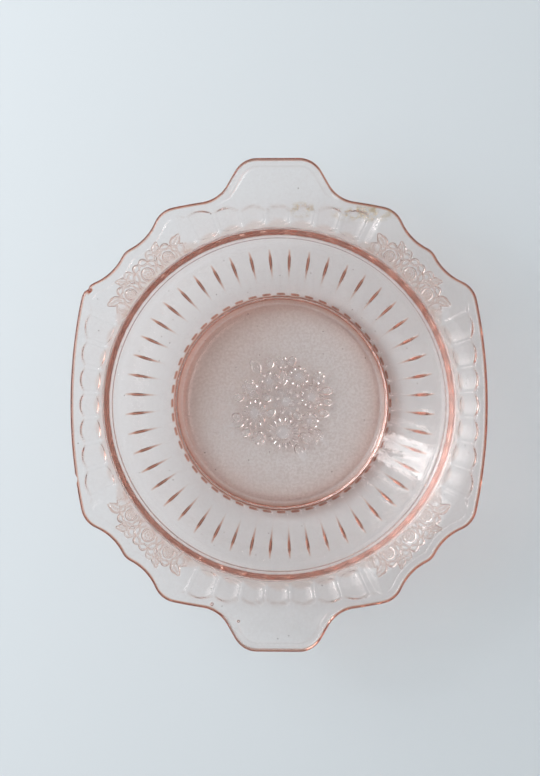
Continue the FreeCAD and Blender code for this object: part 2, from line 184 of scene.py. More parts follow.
def quarter_outline(with_handle):
    """The rim from the middle of the +X side to the middle of the +Y side."""
    side = np.array([HALF_WIDTH - SIDE_BOW, 0.0])
    reach = SIDE_BOW - CORNER_ROUND
    corner = np.array([CORNER_REACH, math.sqrt(reach**2 - (CORNER_REACH - side[0]) ** 2)])
    bump = np.full(2, (BUMP_REACH - BUMP_ROUND) / math.sqrt(2))
    dip = outer_meeting(corner, CORNER_ROUND + DIP_ROUND, bump, BUMP_ROUND + DIP_ROUND)
    side_end = toward(side, corner, SIDE_BOW)
    corner_end = toward(corner, dip, CORNER_ROUND)
    dip_end = toward(bump, dip, BUMP_ROUND)
    parts = [
        arc(side, np.array([HALF_WIDTH, 0.0]), side_end),
        arc(corner, side_end, corner_end),
        arc(dip, corner_end, dip_end),
        arc(bump, dip_end, dip_end[::-1]),
        arc(dip[::-1], dip_end[::-1], corner_end[::-1]),
        arc(corner[::-1], corner_end[::-1], side_end[::-1]),
    ]
    far_side = side[::-1]
    if not with_handle:
        parts.append(arc(far_side, side_end[::-1], np.array([0.0, HALF_WIDTH])))
        return np.concatenate(parts)
    flank_out = np.array([math.sin(FLANK_LEAN), math.cos(FLANK_LEAN)])
    flank_run = np.array([-math.cos(FLANK_LEAN), math.sin(FLANK_LEAN)])
    tip_centre = np.array([TIP_HALF_WIDTH, HALF_LENGTH - TIP_ROUND])
    tip_start = np.array([TIP_HALF_WIDTH, HALF_LENGTH])
    flank_end = tip_centre + flank_out * TIP_ROUND
    base = flank_end + flank_out * NECK_ROUND
    offset = base - far_side
    half = offset @ flank_run
    run = -half + math.sqrt(half**2 - offset @ offset + (SIDE_BOW + NECK_ROUND) ** 2)
    neck = base + flank_run * run
    flank_start = neck - flank_out * NECK_ROUND
    far_end = toward(far_side, neck, SIDE_BOW)
    parts += [
        arc(far_side, side_end[::-1], far_end),
        arc(neck, far_end, flank_start),
        np.linspace(flank_start, flank_end, 30),
        arc(tip_centre, flank_end, tip_start),
        np.linspace(tip_start, np.array([0.0, HALF_LENGTH]), 30),
    ]
    return np.concatenate(parts)


def whole_outline(quarter):
    """Mirrors a quarter into the closed rim, counter-clockwise from +X."""
    left = (quarter * [-1, 1])[::-1]
    half = np.concatenate([quarter, left[1:]])
    lower = (half * [1, -1])[::-1]
    return np.concatenate([half, lower[1:-1]])


RIM = whole_outline(quarter_outline(True))
PLAIN_RIM = whole_outline(quarter_outline(False))


def polar_radius(outline, angles):
    """How far the outline is from the middle in each direction."""
    around = np.unwrap(np.arctan2(outline[:, 1], outline[:, 0]))
    reach = np.hypot(outline[:, 0], outline[:, 1])
    around = np.concatenate([around - TURN, around, around + TURN])
    return np.interp(angles, around, np.tile(reach, 3))


def distance_to(outline, x, y):
    """How far each point is from the nearest piece of the outline."""
    starts = outline
    steps = np.roll(outline, -1, axis=0) - starts
    lengths = np.maximum((steps**2).sum(axis=1), 1e-9)
    found = np.empty(x.shape)
    flat_x, flat_y, flat = x.ravel(), y.ravel(), found.ravel()
    for begin in range(0, flat_x.size, 4000):
        piece = slice(begin, begin + 4000)
        dx = flat_x[piece, None] - starts[None, :, 0]
        dy = flat_y[piece, None] - starts[None, :, 1]
        share = np.clip((dx * steps[:, 0] + dy * steps[:, 1]) / lengths, 0, 1)
        gap = np.hypot(dx - share * steps[:, 0], dy - share * steps[:, 1])
        flat[piece] = gap.min(axis=1)
    return found


# -------------------------------------------------------------------------------- soft mathematics


def ramp(value, low, high):
    """0 below low, 1 above high, and a soft S between."""
    share = np.clip((value - low) / (high - low), 0, 1)
    return share * share * (3 - 2 * share)


def band(value, low, high, soft):
    """1 between low and high, falling softly to 0 over the given width outside them."""
    return ramp(value, low - soft, low) * (1 - ramp(value, high, high + soft))


def ridge(value, middle, width):
    """A soft line, 1 in its middle."""
    return np.exp(-(((value - middle) / width) ** 2))


def highest(*reliefs):
    """The highest of several reliefs at each point."""
    result = reliefs[0]
    for relief in reliefs[1:]:
        result = np.maximum(result, relief)
    return result


def from_groove(angle):
    """The angle to the nearest groove, one between each pair of neighbouring flutes."""
    return (angle % PITCH) - PITCH / 2


# ----------------------------------------------------------------------------------------- flowers


def local(x, y, spot, turn):
    """Coordinates seen from a spot, turned so that the first runs along the given direction."""
    dx, dy = x - spot[0], y - spot[1]
    return dx * math.cos(turn) + dy * math.sin(turn), dy * math.cos(turn) - dx * math.sin(turn)


def line(distance, width=LINE):
    """A raised line, 1 along its middle. The distance from it and its half width are in millimetres."""
    return np.exp(-((distance / width) ** 2))


def blossom(x, y, spot, radius, petals, turn=0.0, squash=1.0):
    """An open flower: two rows of ruffled petals round a ring, and a beaded heart inside it."""
    u, v = local(x, y, spot, turn)
    v = v / squash
    reach = np.hypot(u, v)
    around = np.arctan2(v, u)
    outer_wave = np.abs(np.cos(around * petals / 2))
    inner_wave = np.abs(np.sin(around * petals / 2))
    outer = radius * (0.8 + 0.2 * outer_wave)
    inner = radius * (0.6 + 0.1 * inner_wave)
    body = (1 - ramp(reach, outer - 0.3, outer + 0.3)) * 0.3
    petal_lines = line(reach - outer) + 0.75 * line(reach - inner)
    between = (reach > inner) & (reach < outer)
    splits = 0.6 * line(reach * outer_wave / petals * 2) * between
    ring = line(reach - radius * 0.4)
    beads = 0.8 * line(reach - radius * 0.22, 0.35) * (0.5 + 0.5 * np.cos(around * 8)) ** 2
    heart = 0.9 * line(reach, 0.4)
    return body + np.maximum.reduce([petal_lines, splits, ring, beads, heart])


def rosette(x, y, spot, radius, petals, turn=0.0, squash=1.0):
    """A flower of rounded petals like a ring of beads round a dished heart with a beaded edge."""
    u, v = local(x, y, spot, turn)
    v = v / squash
    reach = np.hypot(u, v) / radius
    around = np.arctan2(v, u)
    petal = np.cos(around * petals / 2) ** 2 * np.sqrt(np.clip(1 - ((reach - 0.8) / 0.22) ** 2, 0, 1))
    beads = 0.8 * np.sin(around * petals / 2) ** 2 * ridge(reach, 0.5, 0.09)
    heart = 0.55 * (1 - ramp(reach, 0.3, 0.42)) - 0.3 * (1 - ramp(reach, 0.12, 0.26))
    return 0.15 * (reach < 0.9) + np.maximum.reduce([petal, beads, heart])


def bud(x, y, spot, radius, turn=0.0):
    """An oval bud drawn by its edge and one folded petal."""
    u, v = local(x, y, spot, turn)
    reach = np.hypot(u * 0.85, v * 1.15)
    dome = np.sqrt(np.clip(1 - (reach / radius) ** 2, 0, 1)) * 0.5
    fold = 0.7 * line(np.hypot(u + radius * 0.5, v) - radius * 0.8) * (reach < radius)
    return dome + np.maximum(0.8 * line(reach - radius), fold)


def leaf(x, y, spot, length, turn, veins=5):
    """A pointed leaf drawn by its edge, its midrib and slanting veins, starting at the spot."""
    u, v = local(x, y, spot, turn)
    along = u / length
    inside = (along > 0) & (along < 1)
    half = 0.26 * length * np.sin(math.pi * np.clip(along, 0, 1) ** 0.8)
    body = (1 - ramp(np.abs(v), half - 0.3, half + 0.3)) * 0.25
    edge_line = 0.9 * line(np.abs(v) - half)
    midrib = 0.7 * line(v)
    slant = np.cos((along - 0.35 * np.abs(v) / length) * veins * TURN)
    side_veins = 0.3 * np.clip(slant, 0, 1) ** 2 * (np.abs(v) < half)
    return (body + np.maximum.reduce([edge_line, midrib, side_veins])) * inside


def corner_spray(x, y):
    """Three open blossoms in a row, with leaves between them and a bud at each end, on every corner."""
    x, y = np.abs(x), np.abs(y)
    reach = (x + y) / math.sqrt(2)
    mirrored = np.abs(x - y) / math.sqrt(2)
    return highest(
        blossom(mirrored, reach, (0.0, 79.6), 6.4, 8, turn=0.4),
        blossom(mirrored, reach, (11.4, 78.6), 5.6, 7, turn=0.2),
        bud(mirrored, reach, (18.4, 77.0), 2.3, turn=-0.7),
        bud(mirrored, reach, (6.2, 84.2), 1.8, turn=1.2),
        leaf(mirrored, reach, (15.4, 80.4), 6.4, 0.25),
        leaf(mirrored, reach, (8.0, 82.8), 5.6, 0.75),
        leaf(mirrored, reach, (4.6, 77.2), 5.0, -1.2, veins=4),
        leaf(mirrored, reach, (18.8, 75.2), 5.4, -0.6, veins=4),
    )


def bouquet(x, y):
    """The bunch of flowers under the middle of the base."""
    return highest(
        rosette(x, y, (2.0, 0.6), 6.2, 9),
        rosette(x, y, (0.6, -13.2), 7.4, 15, turn=0.2),
        rosette(x, y, (-12.2, -4.6), 5.4, 12, squash=1.25),
        rosette(x, y, (13.4, 2.6), 5.4, 11, turn=0.5),
        rosette(x, y, (-5.6, 9.8), 4.6, 8),
        rosette(x, y, (7.4, 11.8), 4.8, 10, turn=0.8),
        rosette(x, y, (-14.2, 6.8), 3.6, 7, turn=0.3),
        rosette(x, y, (12.6, -8.2), 4.0, 8, turn=0.1),
        rosette(x, y, (0.4, 18.0), 2.8, 6),
        rosette(x, y, (16.6, 11.2), 2.8, 6, turn=0.4),
        rosette(x, y, (-10.2, -15.6), 3.0, 6, turn=0.2),
        bud(x, y, (-5.2, 18.0), 1.7, 2.0),
        bud(x, y, (4.8, 18.6), 1.7, 1.2),
        bud(x, y, (20.6, 5.4), 1.7, 0.0),
        bud(x, y, (20.6, 0.4), 1.5, -0.2),
        bud(x, y, (19.0, -4.6), 1.6, -0.4),
        bud(x, y, (-19.2, 2.4), 1.7, 3.0),
        bud(x, y, (-15.8, -13.2), 1.7, -2.4),
        bud(x, y, (-20.0, -6.2), 1.6, math.pi),
        bud(x, y, (-4.8, -4.6), 1.8, -2.4),
        bud(x, y, (6.8, -5.6), 1.6, -0.9),
        bud(x, y, (-6.6, 2.4), 1.6, 2.6),
        leaf(x, y, (8.6, -14.0), 8.5, -0.5),
        leaf(x, y, (14.6, -12.0), 6.5, -0.9),
        leaf(x, y, (-9.6, 13.6), 7.0, 2.2),
        leaf(x, y, (0.8, 8.0), 7.0, 1.6),
        leaf(x, y, (6.6, -19.0), 7.0, -0.9),
        leaf(x, y, (-16.6, -8.6), 6.5, -2.9),
        leaf(x, y, (-10.0, 2.6), 6.0, 2.7, veins=4),
    )


# ----------------------------------------------------------------------------- the pressed pattern


def flute_side(angle):
    """The angle to the nearest flute's middle."""
    return np.abs((angle + PITCH / 2) % PITCH - PITCH / 2)


def groove_half_width(radius):
    """Half a groove's width: a spindle, widest near its outer end, with a thin tail towards the foot."""
    share = np.clip((radius - GROOVE_ENDS[0]) / (GROOVE_ENDS[1] - GROOVE_ENDS[0]), 0, 1)
    return GROOVE_HALF_WIDTH * 1.12 * share**1.8 * np.sqrt(1 - share**6)


def flute_hollow(angle, radius):
    """How far the wall's outside lies under the flutes' crowns.

    A spindle-shaped groove parts each pair of flutes, and below their rounded lower ends the wall is sunk.
    """
    aside = np.abs(from_groove(angle)) * radius
    half_width = np.maximum(groove_half_width(radius), 0.001)
    deep = np.minimum(GROOVE_DEPTH, 1.6 * half_width)
    groove = deep * np.sqrt(np.clip(1 - (aside / half_width) ** 2, 0, 1))
    middle = flute_side(angle) * radius
    crown = CROWN_BOW * (middle / CROWN_HALF_WIDTH) ** 2 * ramp(radius, 50, 54) * (1 - ramp(radius, 64, 69))
    end = FLUTE_END + 0.9 * np.clip(middle / 2.5, 0, 1.2) ** 3
    below = (1 - ramp(radius, end - 0.3, end + 0.3)) * FLUTE_RISE
    return np.maximum(groove + crown, below)


def groove_shade(angle, radius):
    """Painted shade in the grooves, on the flutes' upright ends and on the foot's side: how much deeper the
    colour is painted there.
    """
    half_width = groove_half_width(radius)
    aside = np.abs(from_groove(angle)) * radius
    in_groove = (1 - ramp(aside, half_width * 0.7, half_width + 0.22)) * ramp(half_width, 0.0, 0.5)
    at_end = band(radius, 49.4, 49.96, 0.1) * (1 - ramp(flute_side(angle) * radius, 1.7, 2.2))
    foot_side = band(radius, *FOOT_SIDE, 0.15)
    return np.maximum.reduce([in_groove, at_end, foot_side])


def lobes(angle, radius):
    """Rounded lobes side by side on the flange, in a fan on each of the four sides. Highest 1."""
    side = (angle + math.pi / 4) % (math.pi / 2) - math.pi / 4
    across = flute_side(side) / (PITCH / 2)
    reach = polar_radius(PLAIN_RIM, angle) - MARGIN - 1.9 * across**2
    outer_end = ramp(reach - radius, -0.1, 1.2)
    inner_end = ramp(radius - LOBE_START - 1.6 * across**2, 0.0, 1.6)
    dome = np.sqrt(np.clip(1 - 0.98 * across**2.2, 0, 1))
    in_fan = 1 - ramp(np.abs(side), *FAN_EDGE)
    return dome * outer_end * inner_end * in_fan


def flange_relief(x, y):
    """How far the pressed pattern stands out under the flange."""
    angle, radius = np.arctan2(y, x), np.hypot(x, y)
    edge = distance_to(RIM, x, y)
    on_handle = ramp(np.abs(y), 87.0, 90.0)
    corner = np.abs(angle % (math.pi / 2) - math.pi / 4)
    pattern = LOBE_RELIEF * lobes(angle, radius)
    spray = SPRAY_RELIEF * corner_spray(x, y) * ramp(radius, 76.6, 77.6) * ramp(edge, 3.0, 4.0)
    step_line = STEP_LINE_RELIEF * line(edge - 4.0, 0.4) * (1 - ramp(corner, 0.24, 0.3))
    lip = EDGE_BEAD_RELIEF + HANDLE_LIP_RELIEF * on_handle
    bead = lip * ramp(edge, 0.0, 1.4) * (1 - ramp(edge, 2.4, 4.3))
    return np.maximum(pattern, spray) + step_line + bead


def base_relief(x, y):
    """How far the bouquet stands out under the base."""
    return BOUQUET_RELIEF * bouquet(x, y) * (1 - ramp(np.hypot(x, y), 22.8, 24.6))


def wall_relief(x, y):
    """How far the wall is sunk under the flutes' crowns."""
    return flute_hollow(np.arctan2(y, x), np.hypot(x, y))


def pressed(x, y):
    """The pressed pattern's depth anywhere on the outside."""
    radius = np.hypot(x, y)
    depth = np.zeros(x.shape)
    for inside, relief in (
        (radius < BOUQUET_RADIUS, base_relief),
        (radius > FLANGE_START - 1, flange_relief),
        ((radius > 49.4) & (radius < 68), wall_relief),
    ):
        depth[inside] = relief(x[inside], y[inside])
    return depth


def steepness(x, y):
    """The slope of the pressed pattern: 0 where it is flat, 1 at 45 degrees."""
    step = 0.12
    along_x = pressed(x + step, y) - pressed(x - step, y)
    along_y = pressed(x, y + step) - pressed(x, y - step)
    return np.hypot(along_x, along_y) / (2 * step)


# ------------------------------------------------------------------------------- sections of glass


def flange_top(radius):
    """Height of the smooth upper side: two slopes joined by a soft bend at the knee."""
    steep, shallow = FLANGE_SLOPES
    mean, turn = (steep + shallow) / 2, (steep - shallow) / 2
    past = radius - KNEE[0]
    return KNEE[1] + mean * past - turn * np.hypot(past, KNEE_SOFTNESS)


def flange_under(radius):
    """Height of the plain under side, one glass thickness away square to the slope."""
    slope = (flange_top(radius + 0.1) - flange_top(radius - 0.1)) / 0.2
    return flange_top(radius) - FLANGE_THICK * np.sqrt(1 + slope**2)


def lip_drop(edge):
    """How far the rounded rim falls short of the flat surface, from its outermost line inwards."""
    short = np.clip(LIP_ROUND - edge, 0, LIP_ROUND)
    return LIP_ROUND - np.sqrt(LIP_ROUND**2 - short**2)


def column_angles(quiet, flowered):
    """Directions of a ring's points: steps in degrees across each flute, other ones at flowered corners."""
    found = []
    for flute in range(FLUTES):
        at_corner = 30 < (flute + 0.5) * PITCH_DEGREES % 90 < 60
        found.append(flute * PITCH + np.radians(flowered if at_corner else quiet))
    return np.concatenate(found)


def even_steps(count):
    """Steps in degrees that share one flute's width evenly."""
    return np.arange(count) * PITCH_DEGREES / count


# degrees from one flute's middle to the next, closest together at the groove between them
WALL_STEPS = [0, 1.7, 2.5, 2.95, 3.25, 3.52, 3.98, 4.25, 4.55, 5.0, 5.8]
WALL_ANGLES = column_angles(WALL_STEPS, WALL_STEPS)
FLANGE_ANGLES = column_angles(even_steps(12), even_steps(18))
INSIDE_ANGLES = column_angles(even_steps(6), even_steps(6))
FLANGE_ROWS = 24
GRID_HALF = 76
GRID_ANGLES = np.arange(8 * GRID_HALF) * TURN / (8 * GRID_HALF)


def ring(angles, radius, height):
    """One row of points at the same radius and height all the way round."""
    columns = [np.cos(angles) * radius, np.sin(angles) * radius, np.zeros(len(angles)) + height]
    return np.stack(columns, axis=1)


def foot_rows():
    """The base's recess outside the bouquet, the foot ring, and the sunk root of the wall."""
    section = [
        (29.0, RECESS_TOP), (36.0, RECESS_TOP), (40.4, RECESS_TOP), (41.8, 1.3), (42.9, 1.05), (43.7, 0.65),
        (44.3, 0.2), (44.9, 0.02), (47.2, 0.0), (47.8, 0.14), (48.08, 0.5), (48.16, 1.2), (48.2, 2.8),
        (48.42, 3.26), (49.28, 4.17),
    ]
    rows = [ring(WALL_ANGLES, radius, height) for radius, height in section]
    # each flute's lower end is a short upright face
    nose = 1 - ramp(flute_side(WALL_ANGLES) * 49.6, 1.5, 2.3)
    rows.append(ring(WALL_ANGLES, 49.46, 4.36 - 0.85 * nose))
    return rows


def wall_rows():
    """The fluted wall: a straight slope whose grooves are sunk square to it."""
    run = np.array([SHOULDER[0] - FLOOR_RADIUS, SHOULDER[1] - FLOOR_TOP])
    run /= np.hypot(*run)
    out = np.array([run[1], -run[0]])
    foot = np.array([FLOOR_RADIUS, FLOOR_TOP]) + out * WALL_THICK
    radii = [49.95, 50.5, 51.2, 52.2, 53.4, 55.0, 57.0, 59.0, 61.0, 62.8, 64.2, 65.2, 65.9, 66.35, 66.7]
    radii += [69.0, 73.6]
    rows = []
    for radius in radii:
        crown = foot + run * (radius - foot[0]) / run[0]
        hollow = flute_hollow(WALL_ANGLES, radius)
        rows.append(ring(WALL_ANGLES, crown[0] - out[0] * hollow, crown[1] - out[1] * hollow))
    return rows


def step_rows():
    """The outside of the upright step, rounded into the wall below and the flange above."""
    section = [
        (74.9, 29.5), (75.3, 30.3), (75.5, 31.4), (75.75, 33.2), (76.0, 34.3), (76.4, 35.1),
        (77.0, 35.75),
    ]
    return [ring(WALL_ANGLES, radius, height) for radius, height in section]


def flange_rows(angles, fractions, offsets, under):
    """Rows from the step out to the rim. The last few keep fixed distances from the rim."""
    reach = polar_radius(RIM, angles)
    radii = [FLANGE_START + (reach - offsets[0] - FLANGE_START) * share for share in fractions]
    radii += [reach - offset for offset in offsets[1:]]
    height_at = under_side if under else upper_side
    rows = []
    for radius in radii:
        points = ring(angles, radius, 0.0)
        points[:, 2] = height_at(points[:, 0], points[:, 1])
        rows.append(points)
    return rows


def under_side(x, y):
    """Height of the flange's patterned under side."""
    return flange_under(np.hypot(x, y)) - flange_relief(x, y) + lip_drop(distance_to(RIM, x, y))


def upper_side(x, y):
    """Height of the flange's smooth upper side."""
    return flange_top(np.hypot(x, y)) - lip_drop(distance_to(RIM, x, y))


def inside_rows():
    """From the flange over the step and down the wall to the floor."""
    section = [
        (72.9, flange_top(72.9)), (72.2, flange_top(72.2) - 0.12), (71.75, 36.95), (71.55, 36.3),
        (71.25, 34.0), (70.8, 31.3), (70.45, 30.25), (69.9, 29.45), (68.6, 28.1), (57.0, 16.35),
    ]
    slope = math.atan2(SHOULDER[1] - FLOOR_TOP, SHOULDER[0] - FLOOR_RADIUS)
    centre = (FLOOR_RADIUS - FLOOR_ROUND * math.tan(slope / 2), FLOOR_TOP + FLOOR_ROUND)
    for share in (1.0, 0.8, 0.6, 0.4, 0.2, 0.0):
        lean = slope * share
        section.append((centre[0] + FLOOR_ROUND * math.sin(lean), centre[1] - FLOOR_ROUND * math.cos(lean)))
    section += [(32.0, FLOOR_TOP), (16.0, FLOOR_TOP)]
    return [ring(INSIDE_ANGLES, radius, height) for radius, height in section]


# ----------------------------------------------------------------------------------- the dish mesh


def bouquet_grid():
    """The disc under the base as a square grid pressed round, so that its points are evenly close.

    Returns the points inside the disc's edge, and the whole grid's numbering, in which -1 - c stands for
    the edge point of column c.
    """
    side = np.arange(-GRID_HALF, GRID_HALF + 1)
    a, b = np.meshgrid(side, side, indexing="ij")
    level = np.maximum(np.abs(a), np.abs(b))
    along = np.select(
        [(a == level) & (b > -level), b == level, a == -level, b == -level],
        [b, 2 * level - a, 4 * level - b, 6 * level + a],
        0,
    ) % np.maximum(8 * level, 1)
    column = along * GRID_HALF / np.maximum(level, 1)
    angle = column * TURN / (8 * GRID_HALF)
    radius = BOUQUET_RADIUS * level / GRID_HALF
    on_edge = level == GRID_HALF
    number = np.cumsum(~on_edge.ravel()).reshape(level.shape) - 1
    number[on_edge] = -1 - np.round(column[on_edge]).astype(int) % (8 * GRID_HALF)
    x = (np.cos(angle) * radius)[~on_edge]
    y = (np.sin(angle) * radius)[~on_edge]
    return np.stack([x, y, RECESS_TOP - base_relief(x, y)], axis=1), number


def joined_rows(low, high, count):
    """Quads between two rows of the same number of points, given each row's first number."""
    turn = np.arange(count)
    after = np.roll(turn, -1)
    return np.stack([low + turn, high + turn, high + after, low + after], axis=1).tolist()


def bridge(low, low_angles, high, high_angles):
    """Triangles between two rows whose points lie in different directions."""
    faces = []
    a = b = 0
    count_a, count_b = len(low_angles), len(high_angles)
    next_a = np.append(low_angles[1:], TURN + low_angles[0])
    next_b = np.append(high_angles[1:], TURN + high_angles[0])
    while a < count_a or b < count_b:
        if b == count_b or (a < count_a and next_a[a] <= next_b[b]):
            faces.append([low + a, high + b % count_b, low + (a + 1) % count_a])
            a += 1
        else:
            faces.append([low + a % count_a, high + b, high + (b + 1) % count_b])
            b += 1
    return faces


def dish_points_and_faces():
    """Everything that the mesh is made from.

    Returns every point in millimetres, the faces, the numbers of the faces that carry the corner sprays,
    and the number of the first point of the inside.
    """
    grid_points, number = bouquet_grid()
    lip = [3.5, 3.1, 2.7, 2.3, 1.75, 1.3, 0.9, 0.55, 0.27, 0.08, 0.0]
    over_lip = [0.0, 0.08, 0.27, 0.55, 0.9]
    inside = flange_rows(INSIDE_ANGLES, [], [0.0, 1.5, 2.6], under=False)
    inside += flange_rows(INSIDE_ANGLES, np.linspace(1, 0, 7), [4.5], under=False)
    under = flange_rows(FLANGE_ANGLES, np.linspace(0, 1, FLANGE_ROWS), lip, under=True)
    zones = [
        (GRID_ANGLES, [ring(GRID_ANGLES, BOUQUET_RADIUS, RECESS_TOP)]),
        (WALL_ANGLES, foot_rows() + wall_rows() + step_rows()),
        (FLANGE_ANGLES, under + flange_rows(FLANGE_ANGLES, [], over_lip, under=False)),
        (INSIDE_ANGLES, inside + inside_rows()),
    ]
    points = [grid_points]
    first = len(grid_points)
    # the bouquet's grid, with its edge tied to the first ring
    tied = np.where(number < 0, first - 1 - number, number)
    corners = [tied[:-1, :-1], tied[:-1, 1:], tied[1:, 1:], tied[1:, :-1]]
    faces = np.stack([corner.ravel() for corner in corners], axis=1).tolist()
    flowered = []
    at_corner = np.flatnonzero(np.abs(FLANGE_ANGLES % (math.pi / 2) - math.pi / 4) < math.radians(14.9))
    before = None
    for angles, rows in zones:
        inside_from = first
        if before:
            faces += bridge(*before, first, angles)
        for row, row_points in enumerate(rows):
            points.append(row_points)
            if angles is FLANGE_ANGLES and row < FLANGE_ROWS - 1:
                flowered += (len(faces) + at_corner).tolist()
            if row < len(rows) - 1:
                faces += joined_rows(first, first + len(angles), len(angles))
                first += len(angles)
        before = (first, angles)
        first += len(angles)
    points.append(np.array([[0.0, 0.0, FLOOR_TOP]]))
    count = len(INSIDE_ANGLES)
    faces += [[before[0] + turn, first, before[0] + (turn + 1) % count] for turn in range(count)]
    return np.concatenate(points), faces, flowered, inside_from


def chipped(points):
    """Bites the small chips out of the rim. Also returns how far each point lies inside a chip."""
    bite = np.zeros(len(points))
    for x, y, length, depth in CHIPS:
        gap = np.hypot(points[:, 0] - x, points[:, 1] - y) / length
        share = np.clip(1 - gap**2, 0, 1)
        inwards = points[:, :2] / np.maximum(np.hypot(points[:, 0], points[:, 1]), 1)[:, None]
        points[:, :2] -= inwards * (share * depth)[:, None]
        bite = np.maximum(bite, share)
    return points, bite


def base_ground_shade(x, y, radius, angle):
    """Painted shade on the base's ground between the flowers, so that the flowers look lit: deeper towards
    the foot and to one side.
    """
    flat = 1 - ramp(bouquet(x, y), 0.12, 0.45)
    ground = (BASE_DEPTH + BOUQUET_GROUND_DEPTH * (1 - ramp(radius, 17, 24))) * flat
    shaded_side = SHADED_SIDE_DEPTH * ramp(radius * np.cos(angle - SHADED_SIDE), 8, 44)
    edge = BASE_EDGE_DEPTH * ramp(radius, 32, 43.0) + shaded_side
    return ground + edge * (1 - ramp(radius, *RECESS_EDGE))


def painted_shade_depth(x, y):
    """The painted shade at each point of the outside, 0 to 1: how much deeper and darker its colour is
    painted.

    It is deepest along steep pressed lines, in the wall's grooves, on the foot's side and round the rim.
    """
    angle, radius = np.arctan2(y, x), np.hypot(x, y)
    lines = ramp(steepness(x, y), *LINE_SLOPES)
    on_spray = np.abs(angle % (math.pi / 2) - math.pi / 4) < SPRAY_EDGE
    deepest = np.where(on_spray, SPRAY_LINE_DEPTH, LOBE_LINE_DEPTH)
    lines *= np.where(radius < BOUQUET_RADIUS, BASE_LINE_DEPTH, deepest)
    on_wall = (radius > 47.0) & (radius < 70)
    lines = np.where(on_wall, groove_shade(angle, radius), lines)
    in_recess = radius < RECESS_EDGE[1]
    lines = np.where(in_recess, np.maximum(lines, base_ground_shade(x, y, radius, angle)), lines)
    # painted shade round the rim, in a soft band where the flange leaves the step, and in a cloud at the
    # flowered corners
    rim = RIM_DEPTH * (1 - ramp(distance_to(RIM, x, y), 0.5, 1.2))
    across = flute_side(angle) / (PITCH / 2)
    root = ROOT_DEPTH * ramp(radius, 75.6, 76.6) * (1 - ramp(radius - 2.4 * (1 - across**2), 76.8, 78.4))
    flowers = 0.4 + 0.6 * np.clip(corner_spray(x, y), 0, 1)
    corner = CORNER_DEPTH * on_spray * flowers * ramp(radius, 75.6, 76.6) * (1 - ramp(radius, 77.5, 82.0))
    return np.maximum.reduce([lines, rim, root, corner])


def add_bubbles(shell):
    """Small round cavities inside the flange, with their faces turned towards the air in them."""
    for x, y, radius in BUBBLES:
        x_there, y_there = np.array([x]), np.array([y])
        height = (upper_side(x_there, y_there) + under_side(x_there, y_there))[0] / 2
        spot = Matrix.Translation((x, y, height))
        ball = bmesh.ops.create_icosphere(shell, subdivisions=3, radius=radius, matrix=spot)
        faces = {face for corner in ball["verts"] for face in corner.link_faces}
        bmesh.ops.reverse_faces(shell, faces=list(faces))


def make_dish():
    """The whole dish as one closed mesh, with the painted shade at each point as an attribute."""
    points, faces, flowered, inside_from = dish_points_and_faces()
    mesh = bpy.data.meshes.new("dish_glass")
    mesh.from_pydata(points.tolist(), [], faces)
    shell = bmesh.new()
    shell.from_mesh(mesh)
    shell.faces.ensure_lookup_table()
    edges = {edge for face in flowered for edge in shell.faces[face].edges}
    bmesh.ops.subdivide_edges(shell, edges=list(edges), cuts=1, use_grid_fill=True)
    bmesh.ops.recalc_face_normals(shell, faces=shell.faces)
    bubbles_from = len(shell.verts)
    add_bubbles(shell)
    shell.to_mesh(mesh)
    shell.free()
    count = len(points)
    points = np.empty((len(mesh.vertices), 3))
    mesh.vertices.foreach_get("co", points.ravel())
    added = points[count:bubbles_from]
    added[:, 2] = under_side(added[:, 0], added[:, 1])
    radius = np.hypot(points[:, 0], points[:, 1])
    depth = painted_shade_depth(points[:, 0], points[:, 1])
    depth[inside_from:count] = 0
    depth[bubbles_from:] = 0
    points, bite = chipped(points)
    # painted shade in the chips
    depth = np.maximum(depth, ramp(bite, 0.0, 0.4))
    mesh.vertices.foreach_set("co", (points * MM).ravel())
    # the painted shade goes to the material as a point attribute
    kept = mesh.attributes.new("painted_shade", "FLOAT", "POINT")
    kept.data.foreach_set("value", depth.astype(np.float32))
    mesh.polygons.foreach_set("use_smooth", np.ones(len(mesh.polygons), dtype=bool))
    mesh.update()
    dish = bpy.data.objects.new("dish_glass", mesh)
    bpy.context.collection.objects.link(dish)
    return dish


# --------------------------------------------------------------------------------------- materials

GLASS_IOR = 1.51
INNER_COLOUR = (0.80, 0.34, 0.17, 1)
INNER_DENSITY = 20.5
CLEAN_COLOUR = (1.0, 0.99, 0.985, 1)
MOTTLE_COLOUR = (0.76, 0.69, 0.66, 1)
# the colour of the deepest painted shade
PAINTED_SHADE_COLOUR = (0.35, 0.065, 0.03, 1)
SPECK_COLOUR = (0.16, 0.12, 0.10, 1)
RESIDUE_COLOUR = (0.62, 0.43, 0.16, 1)
FLOOR_COLOUR = (0.59, 0.615, 0.63, 1)

# how fine each texture is, in repeats per metre
MOTTLE_SCALE = 850.0
SPECK_SCALE = 210.0
STAIN_SCALE = 330.0
SMUDGE_SCALE = 60.0
WAVE_SCALE = 95.0
PIT_SCALE = 900.0

# how strongly each mark shows, 0 to 1
SPECK_STRENGTH = 0.8
RESIDUE_STRENGTH = 0.7

# roughness of the glass from clean to smudged, and what residue adds
ROUGHNESS = (0.008, 0.05)
RESIDUE_ROUGHNESS = 0.3

# the surface's slow waves, with fine pits in them. The height is in metres.
PIT_SHARE = 0.05
WAVE_STRENGTH = 0.25
WAVE_HEIGHT = 0.0005

# the patches of residue: middle and reach, metres
STAINS = [
    ((0.010, 0.0835, 0.040), (0.007, 0.0035, 0.02)),
    ((0.037, 0.0815, 0.040), (0.016, 0.0042, 0.02)),
]


def add(tree, kind, inputs=None, **settings):
    """A new node with its settings and inputs filled in. An input that is a socket is linked."""
    node = tree.nodes.new(kind)
    for name, value in settings.items():
        setattr(node, name, value)
    for name, value in (inputs or {}).items():
        if isinstance(value, bpy.types.NodeSocket):
            tree.links.new(value, node.inputs[name])
        else:
            node.inputs[name].default_value = value
    return node


